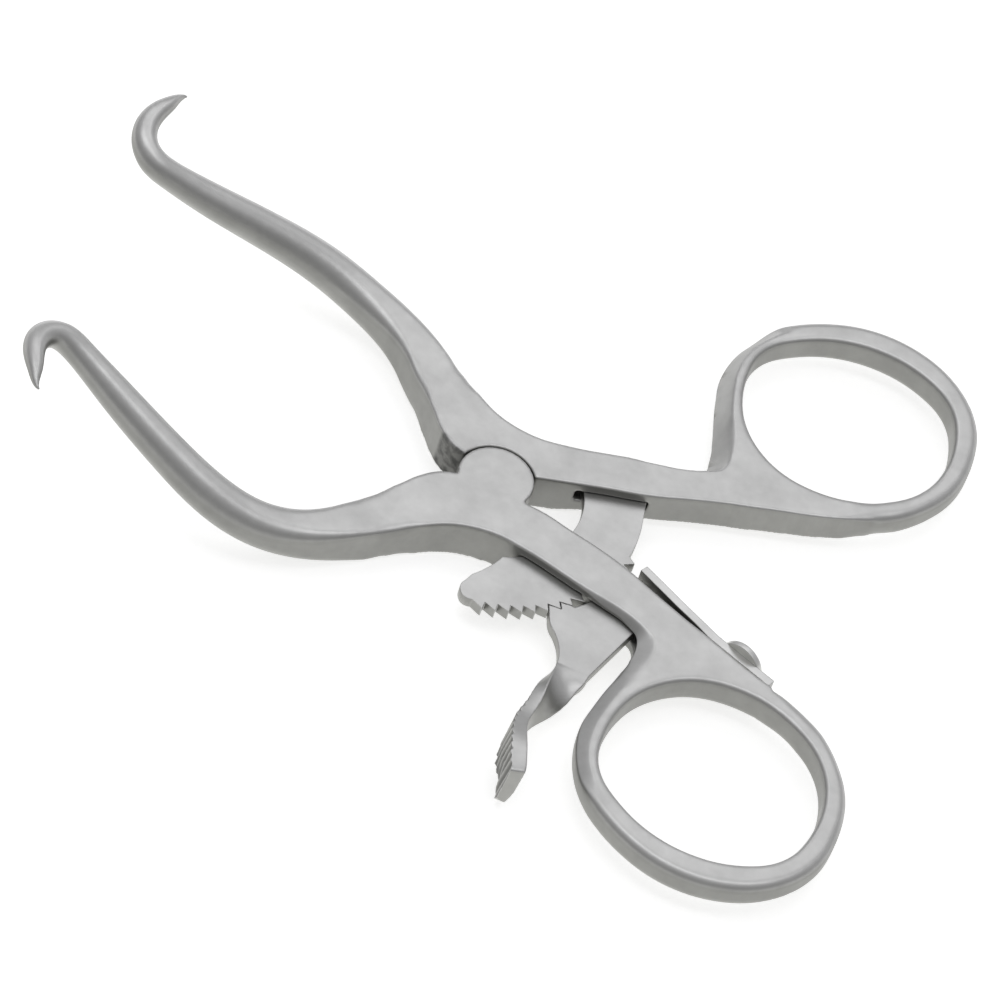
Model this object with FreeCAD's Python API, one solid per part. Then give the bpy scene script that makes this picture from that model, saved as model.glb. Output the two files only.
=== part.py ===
"""Self retaining retractor with finger rings, a curved rack and a release lever.

Two mirrored arms cross nowhere: they meet in a half-lap hinge, so squeezing the
rings together spreads the two sharp prongs. The origin is on the hinge axis at
the underside of the hinge, X points along the symmetry line to the rings and
Z points up to the flat top face. All lengths are in millimetres.
"""
import math
import os

import FreeCAD
import Part
from FreeCAD import Vector

# Thickness of the forged arms, from the hinge to the rings
HUB_THICKNESS = 5.4
HANDLE_THICKNESS = 4.4
RING_THICKNESS = 3.8
EDGE_ROUND = 0.4
INNER_EDGE_ROUND = 0.3
SHANK_STEP = 0.03
RING_OUTER_ROUND = 1.2
RING_INNER_ROUND = 0.7

# Half-lap hinge
BOSS_RADIUS = 4.7
BOSS_GAP = 0.12
LAP_GAP = 0.06
HINGE_BORE_RADIUS = 1.6
HINGE_PIN_CLEARANCE = 0.03
HINGE_HEAD_RADIUS = 2.7
HINGE_HEAD_HEIGHT = 1.0
HINGE_HEAD_CLEARANCE = 0.1
HINGE_THREAD_RADIUS = 1.4
HINGE_THREAD_DEPTH = 1.8
DRIVER_SLOT_WIDTH = 0.7
DRIVER_SLOT_DEPTH = 0.5

# Curved rack, concentric with the hinge
RACK_THICKNESS = 1.5
RACK_SLOT_GAP = 0.08
TOP_LIP = 1.4
RACK_INNER_RADIUS = 11.15
RACK_ROOT_RADIUS = 18.5
RACK_TIP_RADIUS = 19.55
RACK_PLAIN_RADIUS = 18.5
TOOTH_PITCH_DEG = 4.8
TOOTH_LEAN_DEG = 0.9
LAST_VALLEY_DEG = -75.8
TOOTH_COUNT = 14
RACK_PIN_RADIUS = 0.75
RACK_PINS = [(11.4, 7.0), (15.4, 8.0)]

# Release lever with its pawl
LEVER_PIVOT = (19.65, -10.2)
LEVER_PIN_RADIUS = 0.75
LEVER_PIN_CLEARANCE = 0.04
PAWL_CLEARANCE = 0.07
PAWL_VALLEYS_FROM_END = 5
LEVER_TIP_CLEARANCE = 0.3
PIN_COVER = 0.6

# Leaf spring and its screw
SPRING_THICKNESS = 1.1
SPRING_BOTTOM = 1.4
SPRING_TOP = 5.3
SPRING_SEAT_LENGTH = 9.3
SCREW_HEAD_RADIUS = 3.0
SCREW_HEAD_HEIGHT = 1.95
SCREW_SHANK_RADIUS = 1.1
SCREW_DEPTH = 3.0
SCREW_ALONG_SEAT = 3.7
SCREW_LEVEL = 3.5

TOP = HUB_THICKNESS
HANDLE_BOTTOM = HUB_THICKNESS - HANDLE_THICKNESS
RING_BOTTOM = HUB_THICKNESS - RING_THICKNESS
LAP_LEVEL = HUB_THICKNESS / 2
RACK_TOP = TOP - TOP_LIP - RACK_SLOT_GAP
RACK_BOTTOM = RACK_TOP - RACK_THICKNESS
RACK_MIDDLE = (RACK_TOP + RACK_BOTTOM) / 2
SLOT_TOP = TOP - TOP_LIP
SLOT_BOTTOM = RACK_BOTTOM - RACK_SLOT_GAP
PAWL_VALLEY_DEG = LAST_VALLEY_DEG + PAWL_VALLEYS_FROM_END * TOOTH_PITCH_DEG
UP = Vector(0, 0, 1)

# Plan outlines of an arm, drawn for the arm on the +Y side
FLANK_OUTER = [
    (-8.5, 13.95), (-6.0, 11.85), (-2.4, 9.65), (2.4, 8.65),
    (7.1, 9.3), (11.9, 10.6), (16.7, 12.05), (20.9, 13.4),
    (22.5, 14.5), (23.05, 16.2), (22.7, 18.6),
]
FLANK_INNER_PLAIN = [
    (3.9, 2.1), (7.1, 3.1), (11.9, 4.6), (17.9, 6.3),
    (23.8, 8.65), (31.0, 11.25), (39.3, 14.0), (44.2, 16.4),
]
FLANK_INNER_LEVER = [
    (3.9, 2.1), (7.1, 2.45), (10.5, 3.4), (14.3, 4.4),
    (17.9, 5.6), (23.8, 8.3), (31.2, 11.6),
]
SPRING_SEAT = [(31.2, 11.6), (40.2, 15.4)]
SEAT_TO_RING = [(40.2, 15.4), (42.4, 16.2), (44.2, 17.1)]
CROTCH = [(-4.2, 1.5), (-6.6, 2.4), (-8.6, 4.2), (-10.35, 6.6), (-12.55, 9.4)]
BAR_END_PLAIN = [(44.2, 16.4), (43.6, 17.3), (37.0, 16.0), (30.0, 16.3), (25.2, 19.6), (22.7, 18.6)]
RING_OUTER = [
    (20.4, 31.2), (21.1, 26.2), (21.9, 22.7), (23.1, 18.2), (25.4, 14.6),
    (30.5, 13.3), (37.0, 14.0), (41.8, 15.4), (46.2, 17.7), (49.8, 21.5),
    (52.2, 26.0), (53.0, 31.3), (51.6, 38.6), (47.1, 43.9), (41.1, 46.5),
    (35.7, 46.7), (28.9, 44.3), (23.4, 39.7),
]
RING_HOLE = [
    (23.5, 30.0), (24.3, 36.1), (28.9, 40.6), (36.3, 43.1), (42.9, 42.2),
    (47.2, 39.6), (50.1, 32.0), (47.4, 22.5), (42.7, 18.9), (36.9, 17.4),
    (31.1, 18.4), (27.0, 21.4),
]

# Shank stations from the hinge to the tip: centre x, y, z, width, height, top and bottom rounding
SHANK = [
    (-13.7, 14.7, 2.9, 5.35, 5.25, 0.3, 0.25),
    (-18.3, 18.1, 3.4, 4.95, 5.15, 0.6, 0.6),
    (-23.5, 20.1, 4.4, 5.15, 5.15, 0.85, 0.85),
    (-29.0, 20.7, 6.4, 5.2, 5.2, 0.96, 0.96),
    (-36.0, 19.65, 9.5, 4.85, 4.85, 0.98, 0.98),
    (-45.0, 17.3, 13.7, 4.15, 4.15, 0.98, 0.98),
    (-49.8, 16.1, 16.2, 3.6, 3.6, 0.98, 0.98),
    (-52.4, 16.0, 17.6, 3.45, 3.45, 0.98, 0.98),
    (-54.0, 17.2, 18.5, 3.2, 3.2, 0.98, 0.98),
    (-54.7, 19.5, 19.2, 2.95, 2.95, 0.98, 0.98),
    (-54.2, 22.0, 19.6, 2.5, 2.5, 0.98, 0.98),
    (-53.2, 24.3, 19.6, 1.7, 1.7, 0.98, 0.98),
    (-51.9, 26.5, 19.3, 0.3, 0.3, 0.98, 0.98),
]

# Release lever: outline of its flat part, then stations of the twisted pad
LEVER_FLAT = [
    (11.75, -16.1), (12.6, -17.3), (13.6, -18.5), (14.4, -19.8), (14.9, -21.2), (15.1, -22.6),
]
LEVER_RIGHT = [(19.2, -22.6), (20.2, -19.6), (21.2, -16.6), (22.2, -13.6), (23.4, -10.4)]
LEVER_HEEL = [(23.4, -10.4), (23.8, -8.5), (22.3, -6.86), (20.6, -7.35), (18.6, -8.3)]
LEVER_PAD = [
    (17.15, -22.6, 0.0, 4.1, 1.5, 0.0),
    (16.75, -24.2, 0.0, 3.9, 1.5, 10.0),
    (16.1, -26.2, 0.0, 3.9, 1.55, 36.0),
    (15.2, -28.7, 0.05, 4.0, 1.6, 66.0),
    (14.3, -31.0, 0.1, 4.2, 1.65, 88.0),
    (13.7, -33.4, 0.2, 4.8, 1.75, 93.0),
    (13.6, -35.6, 0.35, 5.9, 1.9, 95.0),
    (14.0, -38.0, 0.5, 6.8, 2.05, 96.0),
    (14.9, -41.0, 0.55, 7.1, 2.1, 96.0),
    (15.4, -42.4, 0.55, 6.7, 1.9, 96.0),
]
PAD_THICKNESS = 2.1
SERRATION_START = 12.4
SERRATION_PITCH = 1.15
SERRATION_COUNT = 6
SERRATION_DEPTH = 0.3

# Free part of the leaf spring, on its face towards the arm
SPRING_FREE = [(31.2, 11.6), (29.1, 10.4), (26.1, 8.75), (23.05, 7.0), (20.15, 5.35)]


def mirrored(points):
    return [(x, -y) for x, y in points]


def vectors(points, z=0.0):
    return [Vector(x, y, z) for x, y in points]


def direction(points):
    start, stop = vectors(points)
    return (stop - start).normalize()


def tangent_arc(start, tangent, stop):
    """The circular arc that leaves start along a tangent and ends at stop."""
    chord = stop - start
    side = tangent - chord * (tangent.dot(chord) / chord.dot(chord))
    if side.Length < 1e-4:
        return Part.makeLine(start, stop)
    half_angle = tangent.getAngle(chord) / 2
    middle = (start + stop) * 0.5 + side.normalize() * (chord.Length / 2 * math.tan(half_angle))
    return Part.Arc(start, middle, stop).toShape()


def biarc(start, leaving, stop, arriving):
    """Two arcs that join two points and meet both tangents."""
    chord, both = stop - start, leaving + arriving
    spread = 2 * (1 - leaving.dot(arriving))
    along = chord.dot(both)
    if spread < 1e-6:
        reach = chord.dot(chord) / (2 * along)
    else:
        reach = (math.sqrt(along ** 2 + spread * chord.dot(chord)) - along) / spread
    joint = (start + leaving * reach + stop - arriving * reach) * 0.5
    last = tangent_arc(stop, arriving * -1, joint)
    return [tangent_arc(start, leaving, joint), last]


def smooth(points, first=None, last=None, closed=False):
    """A smooth outline of arcs through points, with given end directions where they matter."""
    path = vectors(points)
    before = [path[-1]] + path[:-1]
    after = path[1:] + [path[0]]
    tangents = []
    for a, b, c in zip(before, path, after):
        near, far = b - a, c - b
        tangents.append((near * (far.Length / near.Length) + far * (near.Length / far.Length)).normalize())
    if not closed:
        tangents[0] = first or reflected(tangents[1], path[1] - path[0])
        tangents[-1] = last or reflected(tangents[-2], path[-1] - path[-2])
    edges = []
    for k in range(len(path) if closed else len(path) - 1):
        j = (k + 1) % len(path)
        edges += biarc(path[k], tangents[k], path[j], tangents[j])
    return edges


def reflected(tangent, chord):
    return (chord * (2 * tangent.dot(chord) / chord.dot(chord)) - tangent).normalize()


def polyline(points, z=0.0):
    corners = vectors(points, z)
    return [Part.makeLine(a, b) for a, b in zip(corners, corners[1:])]


def plate(edges, bottom, top):
    """A flat plate between two levels, from the edges of its outline."""
    wire = Part.Wire(Part.__sortEdges__(edges))
    face = Part.Face(wire)
    face.translate(Vector(0, 0, bottom))
    return face.extrude(Vector(0, 0, top - bottom))


def polar(radius, angle_deg):
    angle = math.radians(angle_deg)
    return (radius * math.cos(angle), radius * math.sin(angle))


def disc(radius, bottom, top, x=0.0, y=0.0):
    return Part.makeCylinder(radius, top - bottom, Vector(x, y, bottom))


def edges_at(shape, levels, tolerance=1e-4):
    """Edges that lie flat at one of the given heights."""
    found = []
    for edge in shape.Edges:
        box = edge.BoundBox
        if any(abs(box.ZMin - z) < tolerance and abs(box.ZMax - z) < tolerance for z in levels):
            found.append(edge)
    return found


def edges_along(shape, level, outline):
    """Edges at one height whose middle lies on an outline seen in plan."""
    line = Part.makeCompound(outline)
    found = []
    for edge in edges_at(shape, (level,)):
        middle = edge.valueAt(sum(edge.ParameterRange) / 2)
        if line.distToShape(Part.Vertex(middle.x, middle.y, 0))[0] < 0.01:
            found.append(edge)
    return found


# Round shank and prong

def shank_section(centre, tangent, width, height, top_round, bottom_round):
    """A box section with rounded corners across the shank; full rounds make it a circle."""
    side = tangent.cross(UP).normalize()
    upward = side.cross(tangent).normalize()
    edges, previous, first = [], None, None
    for across, along, size in ((1, 1, top_round), (-1, 1, top_round), (-1, -1, bottom_round), (1, -1, bottom_round)):
        radius = min(width, height) / 2 * size
        corner = Vector(across * (width / 2 - radius), along * (height / 2 - radius), 0)
        turn = [Vector(across, 0, 0), Vector(across, along, 0).normalize(), Vector(0, along, 0)]
        if across != along:
            turn.reverse()
        arc = [corner + t * radius for t in turn]
        arc = [centre + side * p.x + upward * p.y for p in arc]
        if previous:
            edges.append(Part.makeLine(previous, arc[0]))
        edges.append(Part.Arc(*arc).toShape())
        previous, first = arc[2], first or arc[0]
    edges.append(Part.makeLine(previous, first))
    return Part.Wire(edges)


def shank():
    """The shank grows out of the end face of the handle bar."""
    outer, inner = vectors([FLANK_OUTER[0], CROTCH[-1]])
    across = inner - outer
    root = (outer + inner) * 0.5 + UP * (TOP / 2)
    width, height = across.Length - 2 * SHANK_STEP, TOP - 2 * SHANK_STEP
    corner = EDGE_ROUND / (TOP / 2)
    stations = [(root.x, root.y, root.z, width, height, corner, corner / 4)] + SHANK
    points = [Vector(x, y, z) for x, y, z, *_ in stations]
    path = Part.BSplineCurve()
    path.interpolate(points, InitialTangent=across.cross(UP), FinalTangent=points[-1] - points[-2])
    sections = []
    for centre, (_, _, _, width, height, top_round, bottom_round) in zip(points, stations):
        tangent = path.tangent(path.parameter(centre))[0]
        sections.append(shank_section(centre, tangent, width, height, top_round, bottom_round))
    return Part.makeLoft(sections, True, False)


# Handle bar and finger ring

def bar(inner_edges, end_points):
    flanks = smooth(FLANK_OUTER) + smooth(CROTCH)
    edges = flanks + inner_edges + polyline([FLANK_OUTER[0], CROTCH[-1]])
    edges += polyline([CROTCH[0], (0.0, 1.0), FLANK_INNER_PLAIN[0]])
    edges += polyline(end_points)
    body = plate(edges, 0, TOP)
    hollow = [
        (7.5, -1.0), (7.5, 0.0), (12.5, HANDLE_BOTTOM), (30.0, HANDLE_BOTTOM),
        (44.0, RING_BOTTOM), (60.0, RING_BOTTOM), (60.0, -1.0), (7.5, -1.0),
    ]
    side = Part.makePolygon([Vector(x, 0, z) for x, z in hollow])
    cutter = Part.Face(side).extrude(Vector(0, 60, 0))
    body = body.cut(cutter)
    body = body.makeFillet(EDGE_ROUND, edges_along(body, TOP, flanks))
    return body.makeFillet(INNER_EDGE_ROUND, edges_along(body, TOP, inner_edges))


def ring():
    outer = plate(smooth(RING_OUTER, closed=True), RING_BOTTOM, TOP)
    outer = outer.makeFillet(RING_OUTER_ROUND, edges_at(outer, (RING_BOTTOM, TOP)))
    rim = smooth(RING_HOLE, closed=True)
    body = outer.cut(plate(rim, RING_BOTTOM - 1, TOP + 1))
    rims = edges_along(body, TOP, rim) + edges_along(body, RING_BOTTOM, rim)
    return body.makeFillet(RING_INNER_ROUND, rims)


def arm_blank(inner_edges, end_points):
    body = bar(inner_edges, end_points).fuse([ring(), shank()])
    return body


def rack_arm():
    """The arm on the +Y side: lower half of the lap and the pocket for the rack."""
    end = BAR_END_PLAIN
    body = arm_blank(smooth(FLANK_INNER_PLAIN), end)
    recess = disc(BOSS_RADIUS + BOSS_GAP, LAP_LEVEL - LAP_GAP / 2, TOP + 1)
    body = body.cut(recess)
    body = body.fuse(disc(BOSS_RADIUS, 0, LAP_LEVEL - LAP_GAP / 2))
    body = body.cut(rack_pocket())
    bore = disc(HINGE_BORE_RADIUS + HINGE_PIN_CLEARANCE, -1, TOP)
    seat = disc(HINGE_HEAD_RADIUS + HINGE_HEAD_CLEARANCE, -1, HINGE_HEAD_HEIGHT + LAP_GAP)
    body = body.cut(bore).cut(seat)
    for x, y in RACK_PINS:
        body = body.cut(disc(RACK_PIN_RADIUS, 0, TOP - PIN_COVER, x, y))
    return body


def lever_arm():
    """The arm on the -Y side: upper half of the lap, slot for rack and lever, spring seat."""
    end = [SEAT_TO_RING[-1]] + BAR_END_PLAIN[1:]
    seat = direction(SPRING_SEAT)
    inner = smooth(FLANK_INNER_LEVER, last=seat) + polyline(SPRING_SEAT)
    inner += smooth(SEAT_TO_RING, first=seat)
    body = arm_blank(inner, end).mirror(Vector(0, 0, 0), Vector(0, 1, 0))
    recess = disc(BOSS_RADIUS + BOSS_GAP, -1, LAP_LEVEL + LAP_GAP / 2)
    body = body.cut(recess)
    body = body.fuse(disc(BOSS_RADIUS, LAP_LEVEL + LAP_GAP / 2, TOP))
    body = body.cut(lever_slot())
    body = body.cut(disc(HINGE_THREAD_RADIUS, 0, LAP_LEVEL + HINGE_THREAD_DEPTH + 0.1))
    body = body.cut(disc(LEVER_PIN_RADIUS, 0, TOP - PIN_COVER, *LEVER_PIVOT))
    body = body.cut([spring_seat_space(), spring_screw_hole()])
    return body


def rack_pocket():
    corners = [(9.4, 3.0), (18.4, 5.0), (16.8, 10.1), (9.0, 8.1), (9.4, 3.0)]
    return plate(polyline(corners), SLOT_BOTTOM, SLOT_TOP)


def lever_slot():
    """Slot through the handle, from just inside the rack to just beyond the lever."""
    inside = RACK_INNER_RADIUS - 0.25
    start, middle, stop = polar(inside, -85), polar(inside, -40), polar(inside, 0)
    arc = Part.Arc(*vectors([start, middle, stop])).toShape()
    rest = polyline([stop, (25.2, -3.0), (24.9, -9.0), (23.6, -13.6), (23.2, -20.0), (start[0], -20.0), start])
    return plate([arc] + rest, SLOT_BOTTOM, SLOT_TOP)


# Hinge screw

def hinge_screw():
    head = disc(HINGE_HEAD_RADIUS, 0.05, HINGE_HEAD_HEIGHT)
    journal = disc(HINGE_BORE_RADIUS, 0.5, LAP_LEVEL + LAP_GAP / 2)
    thread = disc(HINGE_THREAD_RADIUS, 0.5, LAP_LEVEL + HINGE_THREAD_DEPTH)
    body = head.fuse([journal, thread])
    slot = Part.makeBox(8, DRIVER_SLOT_WIDTH, DRIVER_SLOT_DEPTH + 1, Vector(-4, -DRIVER_SLOT_WIDTH / 2, -0.95))
    return body.cut(slot)


# Rack and its pins

def tooth_points():
    """Corners of the ratchet teeth from the free end towards the root."""
    points = []
    for k in range(TOOTH_COUNT):
        valley = LAST_VALLEY_DEG + k * TOOTH_PITCH_DEG
        points.append(polar(RACK_TIP_RADIUS, valley - TOOTH_LEAN_DEG))
        points.append(polar(RACK_ROOT_RADIUS, valley))
    return points


def rack_outline():
    first = LAST_VALLEY_DEG - TOOTH_PITCH_DEG
    last = LAST_VALLEY_DEG + TOOTH_COUNT * TOOTH_PITCH_DEG
    teeth = [polar(RACK_ROOT_RADIUS, first)] + tooth_points()
    teeth += [polar(RACK_TIP_RADIUS, last - TOOTH_LEAN_DEG - 1.0)]
    outer = [polar(RACK_PLAIN_RADIUS, last), polar(RACK_PLAIN_RADIUS, 7), (17.7, 6.6)]
    root = [(17.7, 6.6), (16.4, 9.7), (9.6, 7.9), (9.75, 6.2)]
    inner = [polar(RACK_INNER_RADIUS, 30), polar(RACK_INNER_RADIUS, -25), polar(RACK_INNER_RADIUS, -78)]
    end = [inner[-1], (1.75, -14.6), (1.2, -17.4), (1.7, -18.1), teeth[0]]
    return teeth, outer, root, inner, end


def rack():
    teeth, outer, root, inner, end = rack_outline()
    edges = polyline(teeth) + polyline([teeth[-1], outer[0]])
    edges.append(Part.Arc(*vectors([outer[0], polar(RACK_PLAIN_RADIUS, 2), outer[1]])).toShape())
    edges += polyline(outer[1:]) + polyline(root) + polyline([root[-1], inner[0]])
    edges.append(Part.Arc(*vectors(inner)).toShape())
    edges += smooth(end)
    body = plate(edges, RACK_BOTTOM, RACK_TOP)
    for x, y in RACK_PINS:
        body = body.cut(disc(RACK_PIN_RADIUS, 0, TOP, x, y))
    return body


def rack_pins():
    return Part.makeCompound([disc(RACK_PIN_RADIUS, HANDLE_BOTTOM, TOP - PIN_COVER, x, y) for x, y in RACK_PINS])


# Release lever

def pad_section(centre, tangent, width, thickness, twist_deg):
    side = tangent.cross(UP).normalize()
    twist = math.radians(twist_deg)
    across = side * -math.cos(twist) + UP * -math.sin(twist)
    through = tangent.cross(across).normalize()
    w, t = across * (width / 2), through * (thickness / 2)
    return Part.makePolygon([centre - w - t, centre + w - t, centre + w + t, centre - w + t, centre - w - t])


def pad_path():
    points = [Vector(x, y, RACK_MIDDLE + rise) for x, y, rise, *_ in LEVER_PAD]
    path = Part.BSplineCurve()
    path.interpolate(points, InitialTangent=Vector(0, -1, 0), FinalTangent=points[-1] - points[-2])
    return path, points


def lever_pad():
    path, points = pad_path()
    sections = []
    for centre, (_, _, _, width, thickness, twist) in zip(points, LEVER_PAD):
        tangent = path.tangent(path.parameter(centre))[0]
        sections.append(pad_section(centre, tangent, width, thickness, twist))
    return Part.makeLoft(sections, True, False)


def lever_flat():
    arc_radius = RACK_TIP_RADIUS + LEVER_TIP_CLEARANCE
    edges = smooth([polar(arc_radius, PAWL_VALLEY_DEG - TOOTH_LEAN_DEG)] + LEVER_FLAT[1:])
    edges += polyline([LEVER_FLAT[-1], LEVER_RIGHT[0]])
    edges += smooth(LEVER_RIGHT) + smooth(LEVER_HEEL)
    pawl_end = PAWL_VALLEY_DEG + 2 * TOOTH_PITCH_DEG - TOOTH_LEAN_DEG
    arc = [polar(arc_radius, -27.5), polar(arc_radius, -36), polar(arc_radius, pawl_end)]
    edges += polyline([LEVER_HEEL[-1], arc[0]])
    edges.append(Part.Arc(*vectors(arc)).toShape())
    inner = polar(RACK_ROOT_RADIUS, pawl_end)
    corner = polar(RACK_ROOT_RADIUS, PAWL_VALLEY_DEG - TOOTH_LEAN_DEG)
    edges += polyline([arc[-1], inner, corner, polar(arc_radius, PAWL_VALLEY_DEG - TOOTH_LEAN_DEG)])
    return plate(edges, RACK_BOTTOM, RACK_TOP)


def rack_envelope():
    """The rack's toothed area grown by the pawl's clearance."""
    turn = math.degrees(PAWL_CLEARANCE / RACK_ROOT_RADIUS)
    points = []
    for k in range(TOOTH_COUNT):
        valley = LAST_VALLEY_DEG + k * TOOTH_PITCH_DEG
        points.append(polar(RACK_TIP_RADIUS + PAWL_CLEARANCE, valley - TOOTH_LEAN_DEG))
        points.append(polar(RACK_TIP_RADIUS + PAWL_CLEARANCE, valley - TOOTH_LEAN_DEG + turn))
        points.append(polar(RACK_ROOT_RADIUS + 2.2 * PAWL_CLEARANCE, valley + turn))
    hub = [polar(RACK_INNER_RADIUS, -10), polar(RACK_INNER_RADIUS, -70)]
    return plate(polyline(points + hub + points[:1]), RACK_BOTTOM - 1, RACK_TOP + 1)


def serrations():
    """Vertical grooves across the face that the finger pushes."""
    path, _ = pad_path()
    grooves = []
    for k in range(SERRATION_COUNT):
        at = path.parameterAtDistance(SERRATION_START + k * SERRATION_PITCH, path.FirstParameter)
        tangent = path.tangent(at)[0]
        side = tangent.cross(UP).normalize()
        valley = path.value(at) + side * (PAD_THICKNESS / 2 - SERRATION_DEPTH)
        opening = valley + side * 1.0
        corners = [valley, opening - tangent * 1.2, opening + tangent * 1.2, valley]
        face = Part.Face(Part.makePolygon(corners))
        face.translate(Vector(0, 0, -10))
        grooves.append(face.extrude(Vector(0, 0, 20)))
    return grooves


def release_lever():
    body = lever_flat().cut(rack_envelope())
    body = body.fuse(lever_pad().cut(serrations()))
    body = body.cut(disc(LEVER_PIN_RADIUS + LEVER_PIN_CLEARANCE, 0, TOP, *LEVER_PIVOT))
    return body


def lever_pin():
    return disc(LEVER_PIN_RADIUS, HANDLE_BOTTOM, TOP - PIN_COVER, *LEVER_PIVOT)


# Leaf spring and its screw

def seat_frame():
    """Start, direction and outward normal of the spring's seat on the lever arm."""
    start, stop = [Vector(x, -y, 0) for x, y in SPRING_SEAT]
    along = (stop - start).normalize()
    outward = UP.cross(along)
    return start, along, outward


def screw_solid(radius, near, far):
    start, along, outward = seat_frame()
    foot = start + along * SCREW_ALONG_SEAT + outward * near + UP * SCREW_LEVEL
    return Part.makeCylinder(radius, far - near, foot, outward)


def spring_seat_space():
    """Room over the milled seat, so that the ring's edge stays behind the spring."""
    start, along, outward = seat_frame()
    stop = start + along * SPRING_SEAT_LENGTH
    corners = [start, stop, stop + outward * 3, start + outward * 3, start]
    face = Part.Face(Part.makePolygon(corners))
    return face.extrude(UP * (TOP + 1))


def spring_screw_hole():
    return screw_solid(SCREW_SHANK_RADIUS, -SCREW_DEPTH - 0.2, 1)


def leaf_spring():
    start, along, outward = seat_frame()
    seat_end = start + along * (SPRING_SEAT_LENGTH - 0.6)
    free = vectors(mirrored(SPRING_FREE))
    inner = Part.BSplineCurve()
    inner.interpolate(free, InitialTangent=along * -1, FinalTangent=free[-1] - free[-2])
    offset = [point + normal_at(inner, point) * SPRING_THICKNESS for point in free]
    back = Part.BSplineCurve()
    back.interpolate(offset)
    edges = [
        inner.toShape(),
        Part.makeLine(start, seat_end),
        Part.makeLine(seat_end, seat_end + outward * SPRING_THICKNESS),
        Part.makeLine(seat_end + outward * SPRING_THICKNESS, offset[0]),
        back.toShape(),
        Part.makeLine(offset[-1], free[-1]),
    ]
    body = plate(edges, SPRING_BOTTOM, SPRING_TOP)
    return body.cut(screw_solid(SCREW_SHANK_RADIUS + 0.1, -1, SPRING_THICKNESS + 1))


def normal_at(curve, point):
    tangent = curve.tangent(curve.parameter(point))[0]
    normal = tangent.cross(UP).normalize()
    return normal if normal.y > 0 else normal * -1


def spring_screw():
    near = SPRING_THICKNESS
    start, along, outward = seat_frame()
    shank_body = screw_solid(SCREW_SHANK_RADIUS, -SCREW_DEPTH, near + 0.2)
    head = screw_solid(SCREW_HEAD_RADIUS, near, near + SCREW_HEAD_HEIGHT)
    dome_radius = (SCREW_HEAD_RADIUS ** 2 + SCREW_HEAD_HEIGHT ** 2) / (2 * SCREW_HEAD_HEIGHT) + 0.25
    crown = start + along * SCREW_ALONG_SEAT + UP * SCREW_LEVEL
    crown += outward * (near + SCREW_HEAD_HEIGHT - dome_radius)
    head = head.common(Part.makeSphere(dome_radius, crown))
    return head.fuse(shank_body)


def main():
    os.makedirs("parts", exist_ok=True)
    nodes = {
        "rack_arm": rack_arm(),
        "lever_arm": lever_arm(),
        "hinge_screw": hinge_screw(),
        "rack": rack(),
        "rack_pins": rack_pins(),
        "release_lever": release_lever(),
        "lever_pin": lever_pin(),
        "leaf_spring": leaf_spring(),
        "spring_screw": spring_screw(),
    }
    for name, shape in nodes.items():
        box = shape.BoundBox
        print(name, shape.isValid(), len(shape.Solids), round(shape.Volume, 1), box)
        shape.exportStep(f"parts/{name}.step")


main()
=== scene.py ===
"""Looks of the self retaining retractor: satin steel on a white ground in soft studio light."""
import math

import bmesh
import bpy
import numpy as np
from mathutils import Matrix, Vector


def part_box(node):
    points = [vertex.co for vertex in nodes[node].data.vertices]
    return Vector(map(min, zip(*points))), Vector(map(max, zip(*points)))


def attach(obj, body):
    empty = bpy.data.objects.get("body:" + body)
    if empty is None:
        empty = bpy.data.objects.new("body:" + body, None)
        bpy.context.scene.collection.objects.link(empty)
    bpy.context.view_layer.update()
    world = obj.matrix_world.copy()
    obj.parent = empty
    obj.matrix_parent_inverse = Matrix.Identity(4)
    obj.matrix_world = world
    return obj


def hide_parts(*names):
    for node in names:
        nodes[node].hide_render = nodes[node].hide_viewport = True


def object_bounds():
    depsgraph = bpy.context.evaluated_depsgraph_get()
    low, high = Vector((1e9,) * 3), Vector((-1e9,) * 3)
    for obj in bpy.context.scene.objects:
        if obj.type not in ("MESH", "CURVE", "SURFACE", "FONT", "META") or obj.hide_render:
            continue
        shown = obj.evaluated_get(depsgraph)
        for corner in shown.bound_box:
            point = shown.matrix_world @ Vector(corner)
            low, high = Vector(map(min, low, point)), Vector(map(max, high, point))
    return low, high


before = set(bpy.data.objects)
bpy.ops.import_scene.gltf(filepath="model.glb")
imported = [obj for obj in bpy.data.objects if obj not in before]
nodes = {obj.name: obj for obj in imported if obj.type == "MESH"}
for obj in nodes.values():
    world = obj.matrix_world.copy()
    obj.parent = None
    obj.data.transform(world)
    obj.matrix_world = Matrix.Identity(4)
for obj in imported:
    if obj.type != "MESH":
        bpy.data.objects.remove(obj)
cad_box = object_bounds()

# Lengths are in metres, angles in degrees. Shares, tones and shader ranges have no unit.

# Viewing angle of the photograph; the camera's sensor and lens are in millimetres
CAMERA_ELEVATION = 47.7
CAMERA_ROLL = 19.7
CAMERA_TURN = -2.6
CAMERA_DISTANCE = 0.7832
CAMERA_SENSOR = 36
CAMERA_LENS = 236.8
CAMERA_NEAR = 0.01
CAMERA_FAR = 20
PICTURE_CENTRE = (0.00148, -0.00334, 0.0054)

# Smoothing: one plain step, or a step out and back that keeps the volume
PLAIN_STEP = (0.6,)
VOLUME_KEEPING = (0.6, -0.62)
SOFT_EDGE_PASSES = 3

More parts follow.
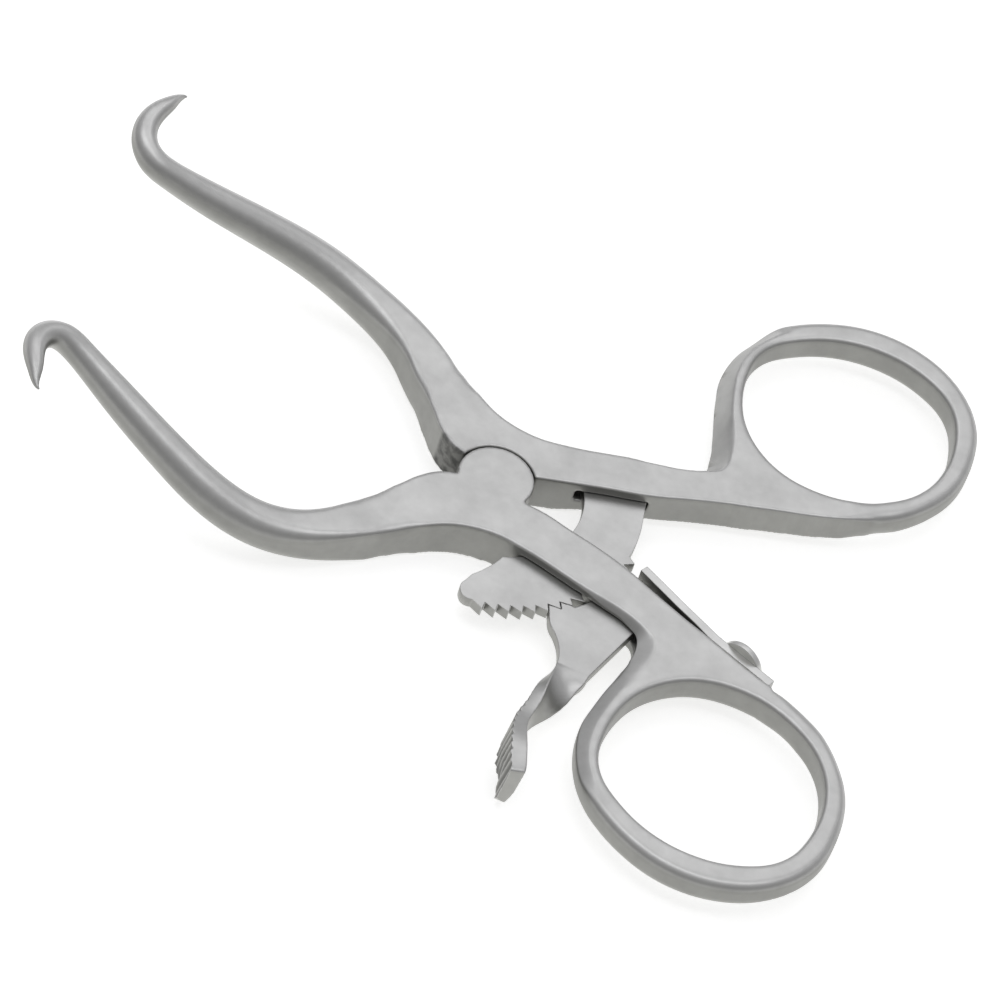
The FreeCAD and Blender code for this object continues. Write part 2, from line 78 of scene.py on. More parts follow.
# The forged arms; places are for the arm on the +Y side, and the other is its mirror image
ARM_VOXEL = 0.00017
ARM_KEPT_FACES = 0.42
ARM_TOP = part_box("rack")[1][2] + 0.00148
SHANK_ROOT = (-0.0104, 0.0117)
SHANK_ROOT_REACH = 0.0040
SHANK_ROOT_GAIN = 1.6
SHANK_ROOT_PASSES = 60
JOINTS = [
    ((0.0442, 0.0166), 0.0036), ((0.0224, 0.0202), 0.0036), (SHANK_ROOT, 0.0030),
    ((-0.0088, 0.0130), 0.0032), ((-0.0132, 0.0101), 0.0036),
]
JOINT_GAIN = 1.5
JOINT_PASSES = 45

# Hollow round the corner between bar and ring: its lowest line, its upper line and how it fades
HOLLOW_FOOT = [
    (0.0140, 0.0109), (0.0167, 0.01205), (0.0209, 0.0134), (0.0225, 0.0145), (0.02305, 0.0162),
    (0.0228, 0.0186), (0.0219, 0.0227), (0.0211, 0.0262), (0.0204, 0.0312), (0.0211, 0.0359),
    (0.0234, 0.0397), (0.0268, 0.0431),
]
HOLLOW_CREASE = [
    (0.0140, 0.0109), (0.0168, 0.0117), (0.0203, 0.01255), (0.0238, 0.0141), (0.0248, 0.0151),
    (0.02515, 0.0164), (0.0249, 0.0185), (0.0237, 0.0229), (0.0227, 0.0268), (0.0221, 0.0312),
    (0.0227, 0.0354), (0.0246, 0.0388), (0.0275, 0.0419),
]
HOLLOW_BOTTOM = {"rack_arm": 0.0027, "lever_arm": 0.0043}
HOLLOW_REACH = 0.0022
HOLLOW_FADE = 0.14
HOLLOW_PASSES = 8
NEVER_ZERO = 1e-9

# Outline where the bar runs on into its ring, by angle round the ring's centre
RING_CENTRE = (0.0366, 0.0327)
FAIR_START = -112.0
FAIR_END = -36.0
FAIR_PARTS = 130
FAIR_PASSES = 90
FAIR_DEPTH = 0.0030
FAIR_MARGIN = 0.0010
OUTLINE_BAND = 0.0006
OUTLINE_LIMIT = 0.0300
LEAST_RADIUS = 1e-4

# Release lever: its pad, the pad's rounded tongue and the filed grooves
LEVER_VOXEL = 0.00010
LEVER_KEPT_FACES = 0.5
PAD_START = -0.0292
PAD_FADE = 0.002
PAD_SHOULDER = -0.0390
PAD_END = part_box("release_lever")[0][1] - 0.0008
PAD_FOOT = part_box("release_lever")[0][2]
PAD_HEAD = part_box("release_lever")[1][2]
PAD_ROUND = 0.0027
PAD_HEAD_ROUND = 0.25
PAD_PASSES = 12
TONGUE_START = -0.0382
TONGUE_FADE = 0.0024
TONGUE_HEIGHT = 0.0038
TONGUE_FULLEST = 0.98
TONGUE_TIP = 0.15
TONGUE_MIDDLE = 0.0145
TONGUE_SLOPE = 0.28
GROOVE_PITCH = 0.00118
GROOVE_DEPTH = 0.00058
GROOVE_FACING = 0.6
GROOVE_FACING_FADE = 0.2
GROOVE_PASSES = 2

# Rack: its free end tapers inside a radius and past an angle round the hinge
TAPER_RADIUS = 0.0148
TAPER_WIDTH = 0.0036
TAPER_ANGLE = -60
TAPER_SPREAD = 16
TAPER_TURN = 11

# Broken edges of the flat pieces
RACK_EDGE = 0.00009
SPRING_EDGE = 0.00012
BROKEN_EDGE_PARTS = 2
BROKEN_EDGE_ANGLE = 35
FLAT_ANGLE = 1.0
SAME_PLACE = 1e-6

# Spring screw: a low cheese head on the leaf spring, over its seat. The middle of its slight crown is
# given as a share of the head's radius and a share of the crown's drop.
HEAD_RADIUS = 0.0029
HEAD_HEIGHT = 0.00105
HEAD_EDGE = 0.00035
HEAD_EDGE_PARTS = 4
HEAD_CROWN = 0.00012
HEAD_CROWN_MIDDLE = (0.6, 0.4)
HEAD_SIDES = 72
HEAD_SHARP_ANGLE = 30
SCREW_RADIUS = 0.0011
SCREW_DEPTH = 0.0040
SCREW_ALONG_SEAT = 0.0037
SEAT_START = (0.0312, -0.0116, 0.0)
SEAT_END = (0.0402, -0.0154, 0.0)
SPRING_THICKNESS = 0.0011

# Tone of level faces, tone of walls, and roughness of each steel; the two tones are painted light and shade,
# set by the way each face is turned
PAINTED_SHADE_AND_ROUGHNESS = {
    "arm_satin": (0.545, 0.29, 0.42),
    "lever_satin": (0.525, 0.34, 0.40),
    "rack_satin": (0.51, 0.30, 0.38),
    "spring_satin": (0.58, 0.36, 0.36),
    "screw_satin": (0.62, 0.80, 0.40),
}
# Warm tint of the painted shade on walls
WALL_WARMTH = 0.05

# Where a face counts as level, as the rim of a level face, or as turned down, by its normal's Z
LEVEL_FACE = (0.20, 0.86)
RIM_TOP = (0.985, 0.94)
RIM_FOOT = (0.60, 0.86)
TURNED_DOWN = (0.05, -0.55)
# Painted highlight on the rims of level faces, and painted bounce light on faces turned down
RIM_TONE = 1.22
UNDERSIDE_TONE = 1.7

# Painted highlight on the edges, found where the softened normal leaves the true one; the softened normal
# also rounds the shading of the edges
SOFT_EDGE_AND_HIGHLIGHT_WIDTH = 0.00016
SOFT_EDGE_AND_HIGHLIGHT_SAMPLES = 6
EDGE_HIGHLIGHT_SPAN = (1.0, 0.93)
EDGE_HIGHLIGHT_SHARE = 0.85
EDGE_HIGHLIGHT_TONE = 0.72
EDGE_HIGHLIGHT_WARMTH = 0.01

# Clouds, flecks and grain of the satin
CLOUDS = {"Scale": 190.0, "Detail": 4.0, "Roughness": 0.6}
FLECKS = {"Scale": 900.0, "Detail": 3.0}
GRAIN = {"Scale": 4200.0, "Detail": 2.0}
NOISE_SPAN = (0.3, 0.7)
CLOUD_TONES = (0.95, 1.04)
FLECK_TONES = (0.97, 1.03)
CLOUD_ROUGHNESS = (1.08, 0.92)
GRAIN_STRENGTH = 0.08
GRAIN_DEPTH = 0.00003

# Patch in the crotch that was sawn and left rough
SAWN_NEAR = (-0.0083, -0.0078)
SAWN_FAR = (-0.0044, -0.0040)
SAWN_SIDES = (0.0040, 0.0036)
SAWN_TOP = (0.0054, 0.00525)
SAWN_PITS = (0.35, 0.6)
SAWN_TONES = (0.35, 0.8)
SAWN_ROUGHER = 0.2

# Shade in the valleys of the filed grooves
VALLEY_SPAN = (0.07, 0.24)
VALLEY_FACING = (-0.2, -0.5)
VALLEY_TONE = 0.45

# Ground, world and lamps; a lamp has a place, a size and a power in watts
GROUND_DROP = 0.0002
GROUND_HALF = 3.0
GROUND_TONE = 0.8
GROUND_GLOW = 0.62
WORLD_LIGHT = 0.42
LAMP_TARGET = (0, 0, 0)
LAMPS = {
    "rear_softbox": ((-0.05, 0.55, 0.7), (0.9, 0.5), 1.3),
    "overhead_strip": ((0.0, -0.02, 0.9), (1.2, 0.35), 1.4),
}


# Camera

def turned(vector, angle):
    return Matrix.Rotation(angle, 3, "Z") @ vector


def add_camera():
    """The camera at the photograph's viewing angle."""
    elevation, roll = math.radians(CAMERA_ELEVATION), math.radians(CAMERA_ROLL)
    turn = math.radians(-CAMERA_TURN)
    sine, cosine = math.sin(elevation), math.cos(elevation)
    right = Vector((math.cos(roll), math.sin(roll) * sine, math.sin(roll) * cosine))
    upward = Vector((-math.sin(roll), math.cos(roll) * sine, math.cos(roll) * cosine))
    back = Vector((0, -cosine, sine))
    right, upward, back = [turned(v, turn) for v in (right, upward, back)]
    data = bpy.data.cameras.new("photo_camera")
    data.sensor_width = CAMERA_SENSOR
    data.lens = CAMERA_LENS
    data.clip_start = CAMERA_NEAR
    data.clip_end = CAMERA_FAR
    camera = bpy.data.objects.new("photo_camera", data)
    place = Matrix((right, upward, back)).transposed().to_4x4()
    place.translation = Vector(PICTURE_CENTRE) + back * CAMERA_DISTANCE
    camera.matrix_world = place
    bpy.context.collection.objects.link(camera)
    bpy.context.scene.camera = camera


# Tools for pieces and their meshes

def add_piece(name, mesh, body, node):
    """A piece that rides on a body and stands for a node."""
    piece = bpy.data.objects.new(name, mesh)
    bpy.context.collection.objects.link(piece)
    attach(piece, body)
    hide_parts(node)
    return piece


def apply_modifiers(piece):
    """Makes the piece's modifiers part of its mesh."""
    graph = bpy.context.evaluated_depsgraph_get()
    mesh = bpy.data.meshes.new_from_object(piece.evaluated_get(graph))
    piece.modifiers.clear()
    piece.data = mesh


def even_faces(piece, voxel):
    """Small even faces over the whole piece, so that its edges can be softened."""
    modifier = piece.modifiers.new("even_faces", "REMESH")
    modifier.mode = "VOXEL"
    modifier.voxel_size = voxel
    apply_modifiers(piece)


def fewer_faces(piece, share):
    """Keeps a share of the faces, most of them where the surface bends."""
    modifier = piece.modifiers.new("fewer_faces", "DECIMATE")
    modifier.ratio = share
    apply_modifiers(piece)
    piece.data.shade_smooth()


def broken_edges(piece, size):
    """Joins the flat faces and rounds the sharp edges between them."""
    shape = bmesh.new()
    shape.from_mesh(piece.data)
    bmesh.ops.remove_doubles(shape, verts=shape.verts, dist=SAME_PLACE)
    bmesh.ops.dissolve_limit(
        shape, angle_limit=math.radians(FLAT_ANGLE), verts=shape.verts, edges=shape.edges,
    )
    shape.to_mesh(piece.data)
    shape.free()
    modifier = piece.modifiers.new("broken_edges", "BEVEL")
    modifier.width = size
    modifier.segments = BROKEN_EDGE_PARTS
    modifier.limit_method = "ANGLE"
    modifier.angle_limit = math.radians(BROKEN_EDGE_ANGLE)
    modifier.harden_normals = True
    apply_modifiers(piece)


def points_of(mesh):
    flat = np.empty(len(mesh.vertices) * 3)
    mesh.vertices.foreach_get("co", flat)
    return flat.reshape(-1, 3)


def normals_of(mesh):
    """The normal at each point, as the mesh was when its points were last set."""
    flat = np.empty(len(mesh.vertices) * 3)
    mesh.vertices.foreach_get("normal", flat)
    return flat.reshape(-1, 3)


def edges_of(mesh):
    flat = np.empty(len(mesh.edges) * 2, dtype=np.int64)
    mesh.edges.foreach_get("vertices", flat)
    return flat.reshape(-1, 2)


def set_points(mesh, points):
    mesh.vertices.foreach_set("co", points.ravel())
    mesh.update()


def softened(points, edges, strength, passes, steps=PLAIN_STEP):
    """Smooths points: each step moves them towards their neighbours, or back where it is negative."""
    size = len(points)
    count = np.bincount(edges.ravel(), minlength=size)[:, None]
    first, second = edges[:, 0], edges[:, 1]
    for step in steps * passes:
        sums = [
            np.bincount(first, points[second, axis], size) + np.bincount(second, points[first, axis], size)
            for axis in range(3)
        ]
        pull = np.stack(sums, axis=1) / count - points
        points = points + pull * strength[:, None] * step
    return points


# Tools for lines and outlines in the plane of the arms

def curve_through(points, steps=10):
    """A smooth line through points, as close points."""
    ends = [2 * Vector(points[0]) - Vector(points[1]), 2 * Vector(points[-1]) - Vector(points[-2])]
    path = [ends[0]] + [Vector(p) for p in points] + [ends[1]]
    line = []
    for a, b, c, d in zip(path, path[1:], path[2:], path[3:]):
        for k in range(steps):
            t = k / steps
            line.append(0.5 * (2 * b + (c - a) * t + (2 * a - 5 * b + 4 * c - d) * t ** 2
                               + (3 * b - a - 3 * c + d) * t ** 3))
    return np.array([tuple(p) for p in line + [path[-2]]])


def nearest(line, places):
    """For each place: its distance to a line, and how far along the line the nearest point lies."""
    best = np.full(len(places), np.inf)
    along = np.zeros(len(places))
    for k, (a, b) in enumerate(zip(line, line[1:])):
        t = np.clip(((places - a) @ (b - a)) / ((b - a) @ (b - a)), 0, 1)
        point = a + t[:, None] * (b - a)
        distance = np.hypot(*(places - point).T)
        closer = distance < best
        best[closer] = distance[closer]
        along[closer] = (k + t[closer]) / (len(line) - 1)
    return best, along


def within(outline, places):
    """Which places lie inside a closed outline."""
    inside = np.zeros(len(places), dtype=bool)
    x, y = places.T
    for (ax, ay), (bx, by) in zip(outline, np.roll(outline, -1, axis=0)):
        crosses = (ay > y) != (by > y)
        step = np.where(crosses, (bx - ax) * (y - ay) / (by - ay if by != ay else 1.0) + ax, 0)
        inside ^= crosses & (x < step)
    return inside


# Arms

def hollowed(points, side, bottom):
    """Cuts the sloping hollow round the corner of the ring, and says which points lie in it."""
    places = points[:, :2] * (1, side)
    foot, crease = curve_through(HOLLOW_FOOT), curve_through(HOLLOW_CREASE)
    run = np.gradient(foot, axis=0)
    away = np.stack([-run[:, 1], run[:, 0]], axis=1) / np.hypot(*run.T)[:, None]
    outer = foot + HOLLOW_REACH * away
    from_foot, _ = nearest(foot, places)
    from_crease, along = nearest(crease, places)
    slope = within(np.vstack([foot, crease[::-1]]), places)
    share = np.where(slope, from_foot / (from_foot + from_crease + NEVER_ZERO), 0)
    fade = np.clip(np.minimum(along, 1 - along) / HOLLOW_FADE, 0, 1)
    fade = fade * fade * (3 - 2 * fade)
    limit = ARM_TOP - (ARM_TOP - bottom) * (1 - share) * fade
    inside = within(np.vstack([outer, crease[::-1]]), places)
    points = points.copy()
    points[inside, 2] = np.minimum(points[inside, 2], limit[inside])
    return points, inside.astype(float)


def faired(points, side):
    """Takes the jog out of the outline where the bar runs on into its ring."""
    offset = points[:, :2] * (1, side) - RING_CENTRE
    radius, angle = np.hypot(*offset.T), np.degrees(np.arctan2(offset[:, 1], offset[:, 0]))
    bounds = np.linspace(FAIR_START, FAIR_END, FAIR_PARTS + 1)
    outline = np.zeros(FAIR_PARTS)
    read = (np.abs(points[:, 2] - ARM_TOP / 2) < OUTLINE_BAND) & (radius < OUTLINE_LIMIT)
    for k, (start, end) in enumerate(zip(bounds, bounds[1:])):
        outline[k] = radius[read & (angle >= start) & (angle < end)].max()
    smooth = outline.copy()
    for _ in range(FAIR_PASSES):
        smooth[1:-1] = (smooth[:-2] + 2 * smooth[1:-1] + smooth[2:]) / 4
    middle = (bounds[:-1] + bounds[1:]) / 2
    shift = np.interp(angle, middle, smooth - outline, left=0, right=0)
    edge = np.interp(angle, middle, outline)
    depth = np.clip(1 - (edge - radius) / FAIR_DEPTH, 0, 1) * (radius < edge + FAIR_MARGIN)
    factor = 1 + shift * depth / np.maximum(radius, LEAST_RADIUS)
    points = points.copy()
    points[:, :2] = (np.array(RING_CENTRE) + offset * factor[:, None]) * (1, side)
    return points


def near_joint(points, side, place, reach, gain):
    """1 at a place on the arm, falling to 0 at its reach."""
    distance = np.hypot(points[:, 0] - place[0], points[:, 1] * side - place[1])
    return np.clip(gain * (1 - distance / reach), 0, 1)


def forge_arm(node, body, side):
    """An arm with the soft edges and blended joints of a forging after polishing."""
    piece = add_piece(node + "_forging", nodes[node].data.copy(), body, node)
    even_faces(piece, ARM_VOXEL)
    mesh = piece.data
    points, edges = points_of(mesh), edges_of(mesh)
    points = faired(points, side)
    points, hollow = hollowed(points, side, HOLLOW_BOTTOM[node])
    root = near_joint(points, side, SHANK_ROOT, SHANK_ROOT_REACH, SHANK_ROOT_GAIN)
    points = softened(points, edges, root, SHANK_ROOT_PASSES, VOLUME_KEEPING)
    joints = [near_joint(points, side, place, reach, JOINT_GAIN) for place, reach in JOINTS]
    points = softened(points, edges, np.max(joints, axis=0), JOINT_PASSES)
    points = softened(points, edges, hollow, HOLLOW_PASSES)
    points = softened(points, edges, np.ones(len(points)), SOFT_EDGE_PASSES)
    set_points(mesh, points)
    fewer_faces(piece, ARM_KEPT_FACES)
    return piece


# Release lever

def lengthened(points):
    """Stretches the pad's end to its full length."""
    stretch = (PAD_END - PAD_SHOULDER) / (points[:, 1].min() - PAD_SHOULDER)
    end = points[:, 1] < PAD_SHOULDER
    points = points.copy()
    points[end, 1] = PAD_SHOULDER + (points[end, 1] - PAD_SHOULDER) * stretch
    return points


def grooved_side(points, normals, pad):
    """The pad's x values with grooves filed across its outer side."""
    faces_out = np.clip((-normals[:, 0] - GROOVE_FACING) / GROOVE_FACING_FADE, 0, 1)
    wave = np.abs((points[:, 1] / GROOVE_PITCH) % 1 - 0.5) * 2
    return points[:, 0] + GROOVE_DEPTH * wave * faces_out * pad


def rounded_end(points, over):
    """The pad's z values with its end rounded, more at the foot than at the head."""
    low = PAD_FOOT + (1 - np.sqrt(1 - over ** 2)) * PAD_ROUND
    high = PAD_HEAD - (1 - np.sqrt(1 - over ** 4)) * PAD_ROUND * PAD_HEAD_ROUND
    return np.where(over > 0, np.clip(points[:, 2], low, high), points[:, 2])


def tongue(points):
    """The pad's x values with its lower end thinned like a rounded tongue."""
    x, y, z = points.T
    near_end = np.clip((TONGUE_START - y) / TONGUE_FADE, 0, 1)
    low = np.clip((PAD_FOOT + TONGUE_HEIGHT - z) / TONGUE_HEIGHT, 0, TONGUE_FULLEST)
    thin = 1 - near_end * (1 - TONGUE_TIP) * (1 - np.sqrt(1 - low ** 2))
    middle = TONGUE_MIDDLE + TONGUE_SLOPE * (y - PAD_END)
    return middle + (x - middle) * thin


def finish_lever():
    """The release lever with a rounded pad and its filed grooves."""
    mesh = nodes["release_lever"].data.copy()
    piece = add_piece("release_lever_filed", mesh, "catch", "release_lever")
    even_faces(piece, LEVER_VOXEL)
    mesh = piece.data
    points, edges = points_of(mesh), edges_of(mesh)
    points = softened(points, edges, np.ones(len(points)), SOFT_EDGE_PASSES, VOLUME_KEEPING)
    set_points(mesh, points)
    points = lengthened(points)
    pad = np.clip((PAD_START - points[:, 1]) / PAD_FADE, 0, 1)
    points[:, 0] = grooved_side(points, normals_of(mesh), pad)
    over = np.clip((PAD_END + PAD_ROUND - points[:, 1]) / PAD_ROUND, 0, 1)
    points[:, 2] = rounded_end(points, over)
    points[:, 0] = tongue(points)
    points = softened(points, edges, pad, GROOVE_PASSES)
    points = softened(points, edges, over, PAD_PASSES)
    set_points(mesh, points)
    fewer_faces(piece, LEVER_KEPT_FACES)
    return piece


# Rack, leaf spring and spring screw

def finish_rack():
    """The rack with lightly broken edges and a tapered corner at its free end."""
    mesh = nodes["rack"].data.copy()
    piece = add_piece("rack_ground", mesh, "rack_half", "rack")
    points = points_of(mesh)
    radius = np.hypot(points[:, 0], points[:, 1])
    angle = np.degrees(np.arctan2(points[:, 1], points[:, 0]))
    inner = np.clip((TAPER_RADIUS - radius) / TAPER_WIDTH, 0, 1)
    taper = inner * np.clip((TAPER_ANGLE - angle) / TAPER_SPREAD, 0, 1)
    angle = np.radians(angle + TAPER_TURN * taper)
    points[:, 0], points[:, 1] = radius * np.cos(angle), radius * np.sin(angle)
    set_points(mesh, points)
    broken_edges(piece, RACK_EDGE)
    return piece


def finish_spring():
    """The leaf spring with broken edges."""
    mesh = nodes["leaf_spring"].data.copy()
    piece = add_piece("leaf_spring_ground", mesh, "lever_half", "leaf_spring")
    broken_edges(piece, SPRING_EDGE)
    return piece


def screw_profile():
    """Half the screw's section as radius and height, from the head's crown to the shank's end."""
    side, drop = HEAD_CROWN_MIDDLE
    profile = [
        (0.0, HEAD_HEIGHT),
        (HEAD_RADIUS * side, HEAD_HEIGHT - HEAD_CROWN * drop),
        (HEAD_RADIUS - HEAD_EDGE, HEAD_HEIGHT - HEAD_CROWN),
    ]
    for k in range(1, HEAD_EDGE_PARTS + 1):
        turn = math.pi / 2 * k / HEAD_EDGE_PARTS
        profile.append((
            HEAD_RADIUS - HEAD_EDGE * (1 - math.sin(turn)),
            HEAD_HEIGHT - HEAD_CROWN - HEAD_EDGE * (1 - math.cos(turn)),
        ))
    return profile + [
        (HEAD_RADIUS, 0.0), (SCREW_RADIUS, 0.0), (SCREW_RADIUS, -SCREW_DEPTH), (0.0, -SCREW_DEPTH),
    ]


def finish_screw():
    """The spring screw with a low cheese head, turned about the screw's own axis."""
    shape = bmesh.new()
    verts = [shape.verts.new((r, 0, z)) for r, z in screw_profile()]
    edges = [shape.edges.new(pair) for pair in zip(verts, verts[1:])]
    bmesh.ops.spin(
        shape, geom=verts + edges, axis=(0, 0, 1), cent=(0, 0, 0), steps=HEAD_SIDES, angle=2 * math.pi,
    )
    bmesh.ops.remove_doubles(shape, verts=shape.verts, dist=SAME_PLACE)
    bmesh.ops.recalc_face_normals(shape, faces=shape.faces)
    mesh = bpy.data.meshes.new("spring_screw_turned")
    shape.to_mesh(mesh)
    shape.free()
    up = Vector((0, 0, 1))
    along = (Vector(SEAT_END) - Vector(SEAT_START)).normalized()
    outward = Vector((-along.y, along.x, 0))
    upright = Matrix((outward.cross(up), up, outward)).transposed()
    foot = Vector(SEAT_START) + along * SCREW_ALONG_SEAT + outward * SPRING_THICKNESS
    lowest, highest = [Vector(corner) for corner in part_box("spring_screw")]
    foot.z = (lowest.z + highest.z) / 2
    mesh.transform(Matrix.Translation(foot) @ upright.to_4x4())
    if upright.determinant() < 0:
        mesh.flip_normals()
    mesh.shade_smooth()
    mesh.set_sharp_from_angle(angle=math.radians(HEAD_SHARP_ANGLE))
    return add_piece("spring_screw_turned", mesh, "lever_half", "spring_screw")


# Materials

class ShaderTree:
    """A small helper to write a material's node tree in few lines."""

    def __init__(self, name):
        self.material = bpy.data.materials.new(name)
        self.material.use_nodes = True
        self.tree = self.material.node_tree
        self.tree.nodes.clear()

    def feed(self, socket, value):
        """Links a socket to another, or sets it to a number or colour."""
        if isinstance(value, bpy.types.NodeSocket):
            self.tree.links.new(value, socket)
        else:
            socket.default_value = value

    def add(self, kind, inputs=None, **settings):
        node = self.tree.nodes.new(kind)
        for key, value in settings.items():
            setattr(node, key, value)
        for key, value in (inputs or {}).items():
            self.feed(node.inputs[key], value)
        return node

    def ramp(self, value, span, result=(0.0, 1.0)):
        """A value's place in a span, carried over to a result's span."""
        return self.add("ShaderNodeMapRange", {
            "Value": value,
            "From Min": span[0],
            "From Max": span[1],
            "To Min": result[0],
            "To Max": result[1],
        }).outputs["Result"]

    def math(self, operation, a, b=0.0):
        return self.add("ShaderNodeMath", {0: a, 1: b}, operation=operation).outputs[0]

    def blend(self, factor, first, second):
        """A colour between two colours."""
        mix = self.add("ShaderNodeMix", {"Factor": factor}, data_type="RGBA")
        for socket, value in zip([s for s in mix.inputs if s.type == "RGBA"], (first, second)):
            self.feed(socket, value)
        return [s for s in mix.outputs if s.type == "RGBA"][0]

    def finish(self, surface):
        out = self.add("ShaderNodeOutputMaterial")
        self.tree.links.new(surface, out.inputs["Surface"])
        return self.material


def grey(value, warmth=0.0):
    """A grey, with a little blue taken out where it is warm."""
    return (value, value, value * (1 - warmth), 1)


def filed_grooves(n, place, normal):
    """Dark valleys between the ridges of the release lever's pad."""
    split = n.add("ShaderNodeSeparateXYZ", {0: place})
    turn = n.math("FRACT", n.math("DIVIDE", split.outputs["Y"], GROOVE_PITCH))
    valley = n.ramp(n.math("ABSOLUTE", n.math("SUBTRACT", turn, 0.5)), VALLEY_SPAN)
    along = n.ramp(split.outputs["Y"], (PAD_START, PAD_START - PAD_FADE))
    outward = n.ramp(normal.outputs["X"], VALLEY_FACING)
    return n.math("MULTIPLY", valley, n.math("MULTIPLY", along, outward))


def sawn_patch(n, place):
    """Where the crotch was sawn beside the hinge and left unpolished."""
    split = n.add("ShaderNodeSeparateXYZ", {0: place})
    near = n.ramp(split.outputs["X"], SAWN_NEAR)
    far = n.ramp(split.outputs["X"], SAWN_FAR, (1.0, 0.0))
    low = n.ramp(n.math("ABSOLUTE", split.outputs["Y"]), SAWN_SIDES)
    wall = n.ramp(split.outputs["Z"], SAWN_TOP)
    return n.math("MULTIPLY", n.math("MULTIPLY", near, far), n.math("MULTIPLY", low, wall))


def satin_steel(name, rough_patch=False, grooved=False):
    """Satin steel with painted light: level faces painted brighter than walls, painted highlights on rims
    and edges, painted bounce light on faces turned down, a fine grain and faint clouds.
    """
    face, wall, roughness = PAINTED_SHADE_AND_ROUGHNESS[name]
    n = ShaderTree(name)
    coordinates = n.add("ShaderNodeTexCoord")
    place = coordinates.outputs["Object"]
    cloud = n.add("ShaderNodeTexNoise", {"Vector": place, **CLOUDS}).outputs["Fac"]
    grain = n.add("ShaderNodeTexNoise", {"Vector": place, **GRAIN}).outputs["Fac"]
    fleck = n.add("ShaderNodeTexNoise", {"Vector": place, **FLECKS}).outputs["Fac"]
    normal = n.add("ShaderNodeSeparateXYZ", {0: coordinates.outputs["Normal"]})
    upward = normal.outputs["Z"]
    # Painted light and shade by the way each face is turned: level faces take the lit tone, walls the shaded
    # tone
    level = n.ramp(upward, LEVEL_FACE)
    # Painted highlight on the rims of level faces
    rim = n.math("MULTIPLY", n.ramp(upward, RIM_TOP), n.ramp(upward, RIM_FOOT))
    top = n.blend(rim, grey(face), grey(face * RIM_TONE))
    # Painted bounce light on walls that are turned down
    under = n.ramp(upward, TURNED_DOWN)
    side = n.blend(under, grey(wall, WALL_WARMTH), grey(wall * UNDERSIDE_TONE, WALL_WARMTH))
    colour = n.blend(level, side, top)
    soft_edge = n.add("ShaderNodeBevel", {"Radius": SOFT_EDGE_AND_HIGHLIGHT_WIDTH}, samples=SOFT_EDGE_AND_HIGHLIGHT_SAMPLES).outputs[0]
    true_normal = n.add("ShaderNodeNewGeometry").outputs["Normal"]
    agree = n.add("ShaderNodeVectorMath", {0: soft_edge, 1: true_normal}, operation="DOT_PRODUCT")
    # Painted highlight: a brighter grey along the edges, where the softened normal leaves the true one
    edge_highlight = n.ramp(agree.outputs["Value"], EDGE_HIGHLIGHT_SPAN, (0.0, EDGE_HIGHLIGHT_SHARE))
    colour = n.blend(edge_highlight, colour, grey(EDGE_HIGHLIGHT_TONE, EDGE_HIGHLIGHT_WARMTH))
    clouded = n.ramp(cloud, NOISE_SPAN, CLOUD_TONES)
    tone = n.math("MULTIPLY", clouded, n.ramp(fleck, NOISE_SPAN, FLECK_TONES))
    rough = n.ramp(cloud, NOISE_SPAN, [roughness * share for share in CLOUD_ROUGHNESS])
    if rough_patch:
        sawn = sawn_patch(n, place)
        pits = n.ramp(fleck, SAWN_PITS, SAWN_TONES)
        tone = n.math("MULTIPLY", tone, n.add("ShaderNodeMix", {0: sawn, 2: 1.0, 3: pits}).outputs[0])
        rough = n.math("ADD", rough, n.math("MULTIPLY", sawn, SAWN_ROUGHER))
    if grooved:
        valley = filed_grooves(n, place, normal)
        tone = n.math("MULTIPLY", tone, n.ramp(valley, (0.0, 1.0), (1.0, VALLEY_TONE)))
    colour = n.add("ShaderNodeVectorMath", {0: colour, "Scale": tone}, operation="SCALE").outputs[0]
    bump = n.add("ShaderNodeBump", {
        "Height": grain, "Normal": soft_edge, "Strength": GRAIN_STRENGTH, "Distance": GRAIN_DEPTH,
    })
    shader = n.add("ShaderNodeBsdfPrincipled", {
        "Base Color": colour, "Roughness": rough, "Normal": bump.outputs[0], "Metallic": 1.0,
    })
    return n.finish(shader.outputs[0])


def set_material(piece, material):
    """Puts one material in all of a piece's material slots."""
    mesh = piece.data
    if not mesh.materials:
        mesh.materials.append(material)
    for index in range(len(mesh.materials)):
        mesh.materials[index] = material


def dress(arms, lever, rack, spring, screw):
    """Gives every piece and every node that still shows its steel."""
    arm_satin = satin_steel("arm_satin", rough_patch=True)
    screw_satin = satin_steel("screw_satin")
    for piece in arms:
        set_material(piece, arm_satin)
    set_material(lever, satin_steel("lever_satin", grooved=True))
    set_material(rack, satin_steel("rack_satin"))
    set_material(spring, satin_steel("spring_satin"))
    set_material(screw, screw_satin)
    for name in ("hinge_screw", "rack_pins", "lever_pin"):
        set_material(nodes[name], screw_satin)


# Ground, world and lamps

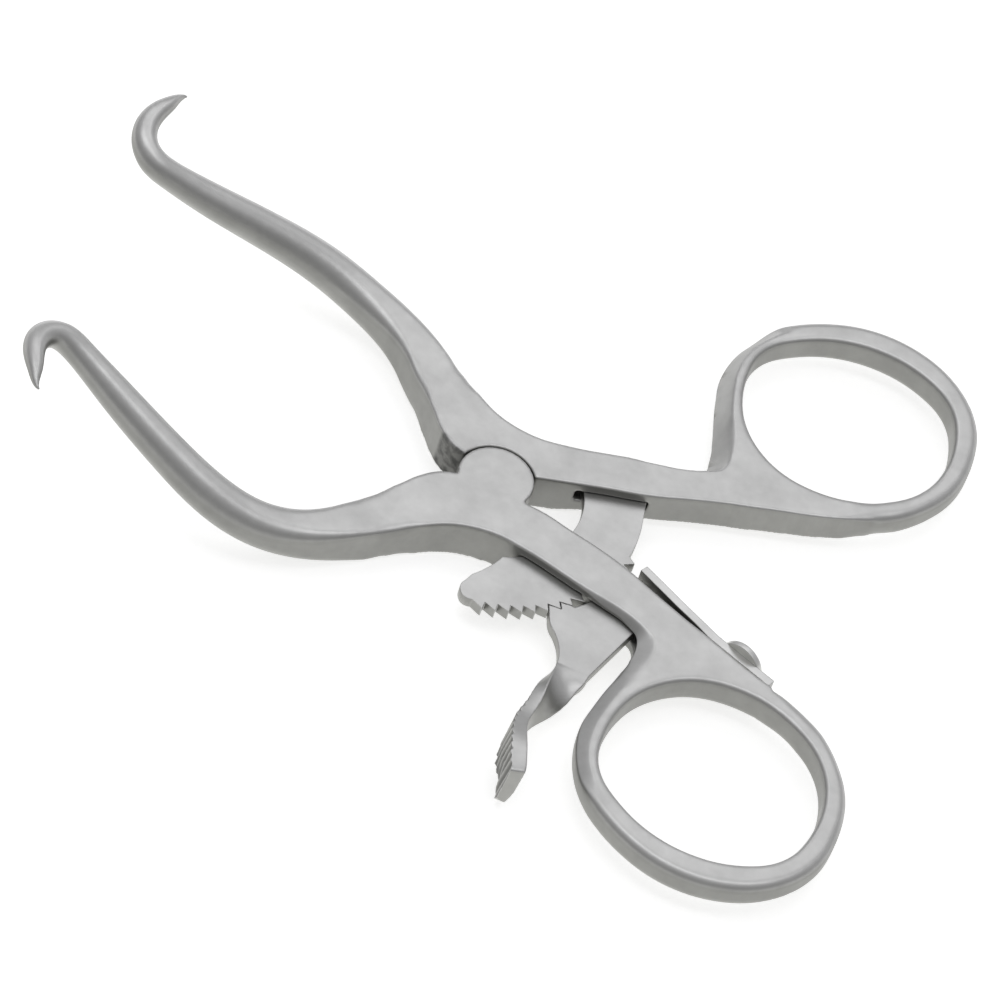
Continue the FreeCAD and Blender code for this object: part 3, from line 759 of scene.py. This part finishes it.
def add_ground():
    """A white ground that glows only where it is seen, and keeps the object's shadow."""
    lowest = cad_box[0][2] - GROUND_DROP
    mesh = bpy.data.meshes.new("floor")
    corners = [(x * GROUND_HALF, y * GROUND_HALF, lowest) for x, y in ((-1, -1), (1, -1), (1, 1), (-1, 1))]
    mesh.from_pydata(corners, [], [(0, 1, 2, 3)])
    floor = bpy.data.objects.new("floor", mesh)
    bpy.context.collection.objects.link(floor)
    n = ShaderTree("white_ground")
    path = n.add("ShaderNodeLightPath")
    seen = n.math("ADD", path.outputs["Is Camera Ray"], path.outputs["Is Glossy Ray"])
    seen = n.math("ADD", seen, path.outputs["Is Transmission Ray"])
    diffuse = n.add("ShaderNodeBsdfDiffuse", {"Color": grey(GROUND_TONE)})
    strength = n.math("MULTIPLY", seen, GROUND_GLOW)
    glow = n.add("ShaderNodeEmission", {"Color": grey(1.0), "Strength": strength})
    both = n.add("ShaderNodeAddShader", {0: diffuse.outputs[0], 1: glow.outputs[0]})
    mesh.materials.append(n.finish(both.outputs[0]))


def add_world():
    """A white world that shows at full strength and lights the object softly."""
    world = bpy.data.worlds.new("studio")
    bpy.context.scene.world = world
    world.use_nodes = True
    tree = world.node_tree
    background = tree.nodes["Background"]
    path = tree.nodes.new("ShaderNodeLightPath")
    strength = tree.nodes.new("ShaderNodeMapRange")
    strength.inputs["To Min"].default_value = WORLD_LIGHT
    strength.inputs["To Max"].default_value = 1.0
    tree.links.new(path.outputs["Is Camera Ray"], strength.inputs["Value"])
    tree.links.new(strength.outputs[0], background.inputs["Strength"])
    background.inputs["Color"].default_value = grey(1.0)


def add_lamp(name, place, size, power):
    """A rectangular lamp that points at the object."""
    data = bpy.data.lights.new(name, "AREA")
    data.shape = "RECTANGLE"
    data.size, data.size_y = size
    data.energy = power
    lamp = bpy.data.objects.new(name, data)
    lamp.location = place
    aim = Vector(LAMP_TARGET) - Vector(place)
    lamp.rotation_euler = aim.to_track_quat("-Z", "Y").to_euler()
    bpy.context.collection.objects.link(lamp)


add_camera()
forgings = [forge_arm("rack_arm", "rack_half", 1), forge_arm("lever_arm", "lever_half", -1)]
dress(forgings, finish_lever(), finish_rack(), finish_spring(), finish_screw())
add_ground()
add_world()
for lamp_name, (lamp_place, lamp_size, lamp_power) in LAMPS.items():
    add_lamp(lamp_name, lamp_place, lamp_size, lamp_power)
bpy.context.scene.view_settings.view_transform = "Standard"
